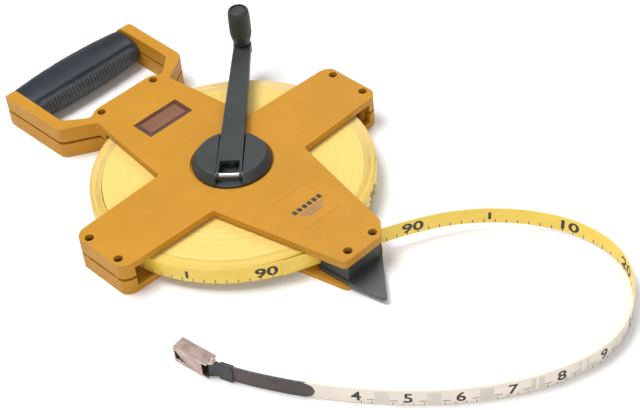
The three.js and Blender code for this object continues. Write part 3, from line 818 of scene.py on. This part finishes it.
def grip():
    """A flattened barrel: smooth on top and outside, with fingers' ribs inside and below."""
    flatten = (MID_Z - FLOOR_GAP) / (GRIP_END_RADIUS + GRIP_BULGE)
    around = 96
    along = 260
    rings = []
    for i in range(along + 1):
        t = -1.0 + 2.0 * i / along
        y = t * GRIP_HALF
        radius = grip_radius(y)
        wave = 0.5 + 0.5 * math.cos(2.0 * math.pi * y / RIB_PITCH)
        ring = []
        for k in range(around):
            angle = 2.0 * math.pi * k / around
            lift = -GROOVE_DEPTH * groove(angle) * smooth_step(*GROOVE_FADE, abs(t))
            ribbed = smooth_step(*RIB_FADE, abs(t)) * rib_zone(angle)
            lift -= ribbed * (RIB_STEP + RIB_DEPTH * (1.0 - wave ** 1.5))
            square = abs(math.cos(angle)) ** GRIP_SQUARE + abs(math.sin(angle)) ** GRIP_SQUARE
            r = (radius + lift) * square ** (-1.0 / GRIP_SQUARE)
            ring.append((GRIP_X + r * math.cos(angle), y, MID_Z + r * math.sin(angle) * flatten))
        rings.append(ring)

    def pick(index):
        angle = 2.0 * math.pi * (index % around) / around
        return 1 if rib_zone(angle) > 0.5 and index // around < along else 0

    piece = outward(lofted("grip_barrel", rings, RUBBER, RIBBED_RUBBER, pick=pick, sharp=60.0))
    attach(piece, "frame")
    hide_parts("grip_sleeve")


grip()

# ---- Frame shells and their pieces ----------------------------------------------------------
refined("upper_frame", "frame", ORANGE, ORANGE_EDGE, 0.9)
refined("lower_frame", "frame", ORANGE, ORANGE_EDGE, 0.9)
refined("ground_spike", "frame", SPIKE_STEEL, SPIKE_EDGE, 0.3)
refined("tape_guide", "frame", CHARCOAL, CHARCOAL_EDGE, 0.5)
refined("grip_core", "frame", CHARCOAL, CHARCOAL_EDGE, 0.5)


def rounded_rectangle(middle, half_x, half_y, corner, z):
    ring = []
    for sign_x, sign_y, start in ((1, 1, 0), (-1, 1, 90), (-1, -1, 180), (1, -1, 270)):
        for k in range(5):
            angle = math.radians(start + 22.5 * k)
            ring.append((
                middle + sign_x * (half_x - corner) + corner * math.cos(angle),
                sign_y * (half_y - corner) + corner * math.sin(angle), z,
            ))
    return ring


def label():
    """A blank inset plate: a raised dark rim round a paler bar."""
    middle = (LABEL_X0 + LABEL_X1) / 2
    wide = (LABEL_X1 - LABEL_X0) / 2
    floor_z = LABEL_TOP - 0.45
    steps = (
        (0.0, LABEL_TOP - 0.7), (0.0, LABEL_TOP - 0.15), (0.25, LABEL_TOP), (1.3, LABEL_TOP),
        (1.7, floor_z), (3.4, floor_z), (3.6, LABEL_TOP - 0.1), (3.9, LABEL_TOP),
    )
    rings = []
    for inset, z in steps:
        corner = max(0.3, 1.6 - inset / 3)
        rings.append(rounded_rectangle(middle, wide - inset, LABEL_HALF - inset, corner, z))
    count = len(rings[0])

    def pick(index):
        """The last two bands and the closing face are the paler bar."""
        ring = index // count
        last = index == count * (len(rings) - 1) + 1
        return 1 if ring in (5, 6) or last else 0

    piece = outward(lofted("label_blank", rings, LABEL_BROWN, LABEL_PAD, pick=pick, sharp=30.0))
    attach(piece, "frame")
    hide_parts("label_plate")


label()


NOSE_BARS_X = 72.0           # middle of the block of bars
NOSE_BAR_STEP = 4.5
NOSE_BAR_SIZE = (3.9, 3.1)
FINE_BARS = ((76.3, 10.5), (78.6, 9.0), (80.9, 6.5))     # each one's place and half length
FINE_BAR_WIDTH = 1.1
NOSE_BORDER_HALF = 17.5
NOSE_BORDER_CORNER = 4.0
BORDER_STEPS = ((0.0, -0.4), (0.0, 0.12), (0.2, 0.22), (0.8, 0.22), (1.0, 0.12), (1.0, -0.4))


def on_nose(x, y, z):
    return Vector((x, y, FRAME_HEIGHT + INK_HALF + z))


def nose_bars():
    """Plain bars where the nose carries a printed block."""
    marks = Print()
    for k in range(6):
        marks.add(bar(*NOSE_BAR_SIZE, NOSE_BARS_X, (k - 2) * NOSE_BAR_STEP), on_nose)
    soft = Print()
    for x, half in FINE_BARS:
        soft.add(bar(FINE_BAR_WIDTH, 2.0 * half, x, 2.2), on_nose)
    marks.finish("nose_bars", INK, "frame")
    soft.finish("nose_fine_bars", SOFT_INK, "frame")


def nose_border():
    """A low moulded border round the bars."""
    rings = []
    for inset, rise in BORDER_STEPS:
        half = NOSE_BORDER_HALF - inset
        corner = NOSE_BORDER_CORNER - inset
        rings.append(rounded_rectangle(NOSE_BARS_X, half, half, corner, FRAME_HEIGHT + rise))
    border = outward(lofted("nose_border", rings, ORANGE, loop=True, sharp=30.0))
    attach(border, "frame")


nose_bars()
nose_border()

# ---- Hub, crank and knob --------------------------------------------------------------------
refined("crank_disc", "reel", CHARCOAL, CHARCOAL_EDGE, 0.6)
refined("crank_arm", "crank", CHARCOAL, CHARCOAL_EDGE, 0.6)
refined("hinge_pin", "reel", BRIGHT_STEEL, BRIGHT_STEEL, 0.3)
refined("hub_screw", "reel", BRIGHT_STEEL, BRIGHT_STEEL, 0.3)
knob_at = (KNOB_REACH * math.cos(CRANK_ANGLE), KNOB_REACH * math.sin(CRANK_ANGLE))


def knob():
    """A waisted knob with a shallow seat for its cap."""
    profile = [
        (3.0, KNOB_BOTTOM), (5.6, KNOB_BOTTOM), (6.1, KNOB_BOTTOM + 0.5), (6.3, KNOB_BOTTOM + 1.5),
        (6.5, KNOB_BOTTOM + 2.8), (7.0, KNOB_BOTTOM + 5.0), (7.6, KNOB_BOTTOM + 7.2),
        (KNOB_RADIUS - 0.1, KNOB_BOTTOM + 9.4), (KNOB_RADIUS, KNOB_BOTTOM + 12.0),
        (KNOB_RADIUS, KNOB_TOP - 8.0), (8.0, KNOB_TOP - 4.5),
        (7.7, KNOB_TOP - 2.2), (7.2, KNOB_TOP - 0.9), (6.5, KNOB_TOP - 0.2), (5.8, KNOB_TOP),
        (5.4, KNOB_TOP - 0.2), (5.3, KNOB_TOP - 3.0), (5.3, KNOB_TOP - 10.8), (3.0, KNOB_TOP - 11.0),
    ]
    piece = turned("knob_body", profile, CHARCOAL, at=knob_at, sharp=50.0, loop=True)
    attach(piece, "knob")
    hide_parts("knob")


def knob_cap():
    """A press-in cap, slightly domed."""
    top = KNOB_TOP - 0.3
    profile = [
        (0.05, top - 2.6), (4.9, top - 2.6), (5.0, top - 2.3), (5.0, top - 0.7), (4.8, top - 0.35),
        (4.0, top - 0.12), (2.4, top - 0.03), (0.05, top),
    ]
    piece = turned("knob_cap_look", profile, CHARCOAL, at=knob_at, sides=48)
    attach(piece, "knob")
    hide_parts("knob_cap")


knob()
knob_cap()

# ---- CAD nodes that keep their own shape ----------------------------------------------------
KEPT = {
    DARK_STEEL: ["side_screw_1", "side_screw_2", "side_screw_3", "side_screw_4",
                 "nose_screw_1", "nose_screw_2", "handle_screw_1", "handle_screw_2"],
    BUSH_WHITE: ["upper_bush", "lower_bush"],
    CHARCOAL: ["spool"],
    BRIGHT_STEEL: ["tape_anchor", "hub_washer", "knob_spindle"],
}
for material, nodes in KEPT.items():
    for node in nodes:
        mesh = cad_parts[node].data
        mesh.materials.clear()
        mesh.materials.append(material)


# ---- Floor and light ------------------------------------------------------------------------
def floor():
    look = Look("floor", roughness=0.8, specular=0.2)
    look.color(look.mix(look.noise(3.0, 2.0), (0.95, 0.95, 0.95), (0.97, 0.97, 0.97)))
    mesh = bpy.data.meshes.new("floor")
    half = 6.0
    corners = [(-half, -half, 0), (half, -half, 0), (half, half, 0), (-half, half, 0)]
    mesh.from_pydata(corners, [], [(0, 1, 2, 3)])
    show("floor", mesh, look.material, smooth=False)


def area_light(name, place, target, size, power):
    data = bpy.data.lights.new(name, "AREA")
    data.shape = "DISK"
    data.size = size
    data.energy = power
    light = bpy.data.objects.new(name, data)
    light.location = place
    light.rotation_euler = (Vector(target) - Vector(place)).to_track_quat("-Z", "Y").to_euler()
    bpy.context.scene.collection.objects.link(light)


WORLD_STRENGTH = 0.27


def studio():
    world = bpy.data.worlds.new("studio")
    world.use_nodes = True
    backdrop = world.node_tree.nodes["Background"]
    backdrop.inputs["Color"].default_value = (1.0, 1.0, 1.0, 1.0)
    backdrop.inputs["Strength"].default_value = WORLD_STRENGTH
    bpy.context.scene.world = world
    bpy.context.scene.view_settings.view_transform = "Standard"
    area_light("key", (-0.45, -0.35, 1.7), (0.05, 0.0, 0.0), size=1.0, power=27.0)
    area_light("fill", (1.3, -0.7, 0.9), (0.1, 0.0, 0.0), size=1.2, power=9.0)
    area_light("rim", (-0.5, 1.1, 1.2), (0.0, 0.0, 0.0), size=0.9, power=6.0)


floor()
studio()
